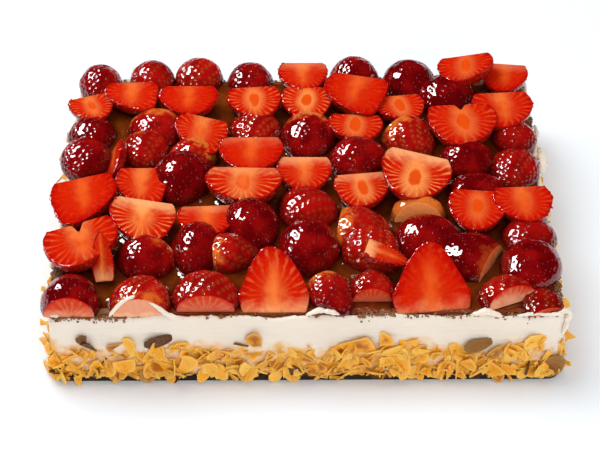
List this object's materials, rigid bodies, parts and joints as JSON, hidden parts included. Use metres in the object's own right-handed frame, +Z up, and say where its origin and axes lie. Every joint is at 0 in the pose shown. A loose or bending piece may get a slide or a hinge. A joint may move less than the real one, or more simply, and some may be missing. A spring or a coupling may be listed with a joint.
{
  "type": "strawberry tart",
  "caption": "Rectangular strawberry cream tart: sponge slab on a thin dark base, cream sides pressed with almond flakes, and glazed halved strawberries on top.",
  "frame": {"origin": "middle of the flat underside", "axes": "+X along the long side to the right, +Y from the front side to the back, +Z up"},
  "size_m": [0.2901, 0.2292, 0.0711],
  "materials": {
    "dark_biscuit": "matte dark biscuit",
    "sponge": "browned sponge under a clear glaze",
    "cream": "spread whipped cream with toasted almond flakes",
    "strawberry": "glazed strawberry, wet gloss"
  },
  "bodies": {
    "root": {"cream_coat": "cream", "dark_base": "dark_biscuit", "sponge_slab": "sponge", "strawberry_1_1": "strawberry", "strawberry_1_4": "strawberry", "strawberry_1_5": "strawberry", "strawberry_1_8": "strawberry", "strawberry_2_1": "strawberry", "strawberry_2_6": "strawberry", "strawberry_2_7": "strawberry", "strawberry_2_8": "strawberry", "strawberry_2_9": "strawberry", "strawberry_3_1": "strawberry", "strawberry_3_2": "strawberry", "strawberry_3_5": "strawberry", "strawberry_3_6": "strawberry", "strawberry_3_7": "strawberry", "strawberry_3_8": "strawberry", "strawberry_4_1": "strawberry", "strawberry_4_4": "strawberry", "strawberry_4_5": "strawberry", "strawberry_4_6": "strawberry", "strawberry_4_7": "strawberry", "strawberry_4_8": "strawberry", "strawberry_5_1": "strawberry", "strawberry_5_2": "strawberry", "strawberry_5_3": "strawberry", "strawberry_5_6": "strawberry", "strawberry_5_7": "strawberry", "strawberry_6_1": "strawberry", "strawberry_6_2": "strawberry", "strawberry_6_9": "strawberry", "strawberry_7_1": "strawberry", "strawberry_7_6": "strawberry", "strawberry_7_7": "strawberry", "strawberry_8_5": "strawberry", "strawberry_8_6": "strawberry", "strawberry_8_7": "strawberry", "strawberry_8_8": "strawberry", "strawberry_9_1": "strawberry", "strawberry_9_4": "strawberry", "strawberry_9_7": "strawberry", "strawberry_9_8": "strawberry", "strawberry_pair_1_2": "strawberry", "strawberry_pair_1_6": "strawberry", "strawberry_pair_2_2": "strawberry", "strawberry_pair_2_4": "strawberry", "strawberry_pair_3_3": "strawberry", "strawberry_pair_4_2": "strawberry", "strawberry_pair_5_4": "strawberry", "strawberry_pair_6_3": "strawberry", "strawberry_pair_6_5": "strawberry", "strawberry_pair_6_7": "strawberry", "strawberry_pair_7_2": "strawberry", "strawberry_pair_7_4": "strawberry", "strawberry_pair_8_1": "strawberry", "strawberry_pair_8_3": "strawberry", "strawberry_pair_9_2": "strawberry", "strawberry_pair_9_5": "strawberry"}
  },
  "joints": []
}
